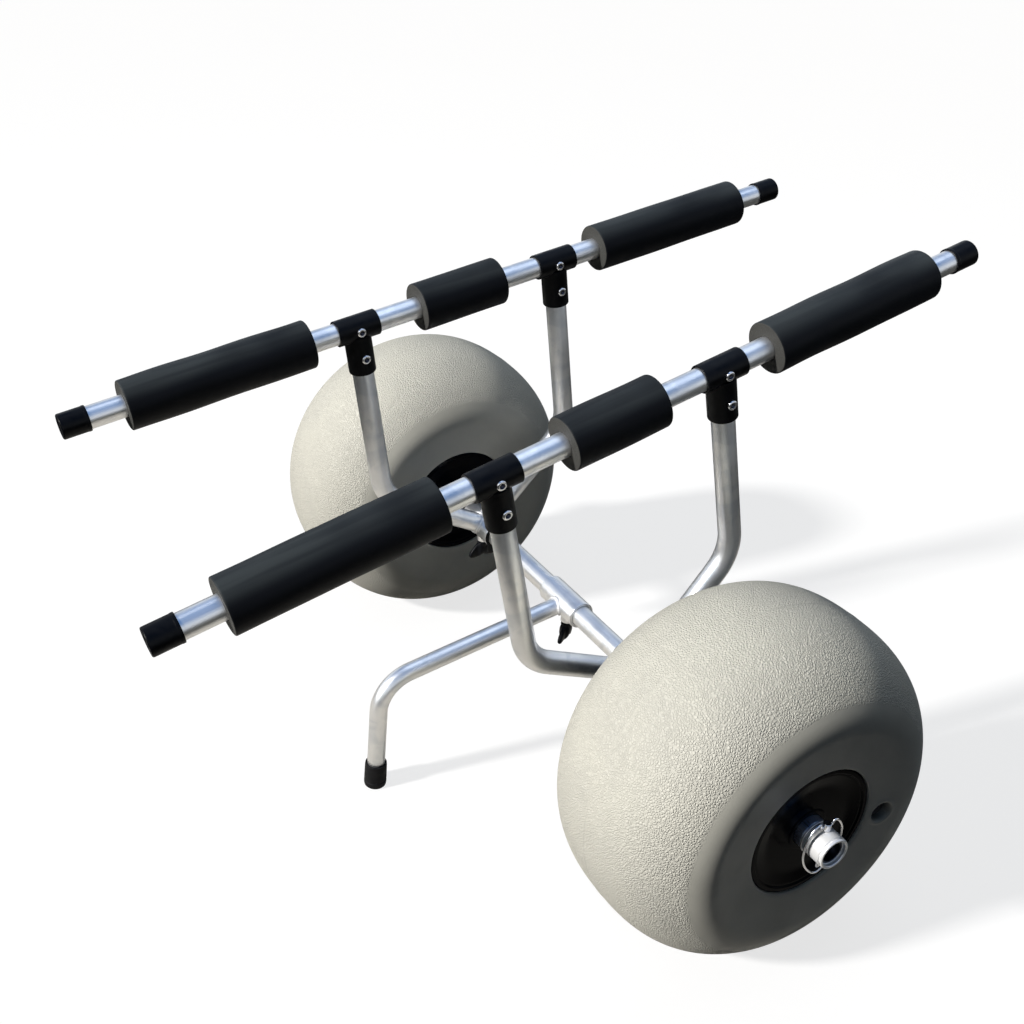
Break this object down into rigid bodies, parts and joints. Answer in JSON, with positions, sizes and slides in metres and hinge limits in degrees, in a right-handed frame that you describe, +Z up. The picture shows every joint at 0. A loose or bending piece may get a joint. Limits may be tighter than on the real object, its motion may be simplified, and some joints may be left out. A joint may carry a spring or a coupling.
{
  "type": "kayak cart",
  "caption": "Two-wheel kayak cart with padded saddle bars on bent tube frames, balloon tyres, a through axle and a swing-down kickstand.",
  "frame": {"origin": "on the ground, under the middle of the cart's bounding box", "axes": "+X along the axle towards the near wheel, +Y along the boat towards the raised ends of the bars, +Z up"},
  "size_m": [0.758, 0.7552, 0.516],
  "materials": {
    "aluminium": "satin",
    "axle_metal": "satin",
    "zinc": "zinc plated",
    "steel": "bright",
    "tyre": "fine pebbled, satin",
    "hub": "gloss",
    "bush": "smooth",
    "foam": "fine closed-cell foam",
    "fitting": "satin",
    "rubber": "matt",
    "valve": "matt"
  },
  "bodies": {
    "axle": {"axle": "axle_metal", "near_stop_ring": "zinc", "near_washer": "zinc", "near_collar": "aluminium", "near_safety_pin": "steel", "far_stop_ring": "zinc", "far_washer": "zinc", "far_collar": "aluminium", "far_safety_pin": "steel"},
    "near_wheel": {"near_tyre": "tyre", "near_hub_outer": "hub", "near_hub_inner": "hub", "near_bush_outer": "bush", "near_bush_inner": "bush", "near_valve_plug": "valve"},
    "far_wheel": {"far_tyre": "tyre", "far_hub_outer": "hub", "far_hub_inner": "hub", "far_bush_outer": "bush", "far_bush_inner": "bush", "far_valve_plug": "valve"},
    "near_bail": {"near_safety_bail": "steel"},
    "far_bail": {"far_safety_bail": "steel"},
    "near_liner": {"near_liner": "fitting"},
    "far_liner": {"far_liner": "fitting"},
    "near_saddle": {"near_frame": "aluminium", "near_bar": "aluminium", "near_foam_back": "foam", "near_foam_middle": "foam", "near_foam_front": "foam", "near_cap_back": "fitting", "near_cap_front": "fitting", "near_tee_back": "fitting", "near_tee_front": "fitting", "near_bar_screw_back": "steel", "near_bar_screw_front": "steel", "near_leg_screw_back": "steel", "near_leg_screw_front": "steel"},
    "far_saddle": {"far_frame": "aluminium", "far_bar": "aluminium", "far_foam_back": "foam", "far_foam_middle": "foam", "far_foam_front": "foam", "far_cap_back": "fitting", "far_cap_front": "fitting", "far_tee_back": "fitting", "far_tee_front": "fitting", "far_bar_screw_back": "steel", "far_bar_screw_front": "steel", "far_leg_screw_back": "steel", "far_leg_screw_front": "steel"},
    "near_wing_screw": {"near_wing_stud": "steel", "near_wing_knob": "fitting"},
    "far_wing_screw": {"far_wing_stud": "steel", "far_wing_knob": "fitting"},
    "kickstand": {"kickstand": "aluminium", "kickstand_foot": "rubber"},
    "kickstand_wing_screw": {"kickstand_wing_stud": "steel", "kickstand_wing_knob": "fitting"}
  },
  "joints": [
    {"name": "near_wheel_spin", "type": "hinge", "parent": "axle", "child": "near_wheel", "pos_m": [0.272, 0.05808, 0.15], "axis": [1, 0, 0], "continuous": true},
    {"name": "far_wheel_spin", "type": "hinge", "parent": "axle", "child": "far_wheel", "pos_m": [-0.272, 0.05808, 0.15], "axis": [1, 0, 0], "continuous": true},
    {"name": "near_bail_swing", "type": "hinge", "parent": "axle", "child": "near_bail", "pos_m": [0.366, 0.05808, 0.167], "axis": [0, -1, 0], "range_deg": [0, 100]},
    {"name": "far_bail_swing", "type": "hinge", "parent": "axle", "child": "far_bail", "pos_m": [-0.366, 0.05808, 0.167], "axis": [0, 1, 0], "range_deg": [0, 100]},
    {"name": "near_saddle_slide", "type": "slide", "parent": "axle", "child": "near_liner", "axis": [1, 0, 0], "range_m": [-0.06, 0.012]},
    {"name": "far_saddle_slide", "type": "slide", "parent": "axle", "child": "far_liner", "axis": [-1, 0, 0], "range_m": [-0.06, 0.012]},
    {"name": "near_saddle_tilt", "type": "hinge", "parent": "near_liner", "child": "near_saddle", "pos_m": [0.1374, 0.05808, 0.15], "axis": [1, 0, 0], "range_deg": [-30, 15]},
    {"name": "far_saddle_tilt", "type": "hinge", "parent": "far_liner", "child": "far_saddle", "pos_m": [-0.1374, 0.05808, 0.15], "axis": [1, 0, 0], "range_deg": [-30, 15]},
    {"name": "near_wing_screw_turn", "type": "hinge", "parent": "near_saddle", "child": "near_wing_screw", "pos_m": [0.1374, 0.05808, 0.15], "axis": [0, 0, -1], "range_deg": [0, 540]},
    {"name": "far_wing_screw_turn", "type": "hinge", "parent": "far_saddle", "child": "far_wing_screw", "pos_m": [-0.1374, 0.05808, 0.15], "axis": [0, 0, -1], "range_deg": [0, 540]},
    {"name": "kickstand_swing", "type": "hinge", "parent": "axle", "child": "kickstand", "pos_m": [0.0186, 0.05808, 0.15], "axis": [-1, 0, 0], "range_deg": [0, 110]},
    {"name": "kickstand_wing_screw_turn", "type": "hinge", "parent": "kickstand", "child": "kickstand_wing_screw", "pos_m": [0.0236, 0.05808, 0.15], "axis": [0, 0, -1], "range_deg": [0, 540]}
  ]
}
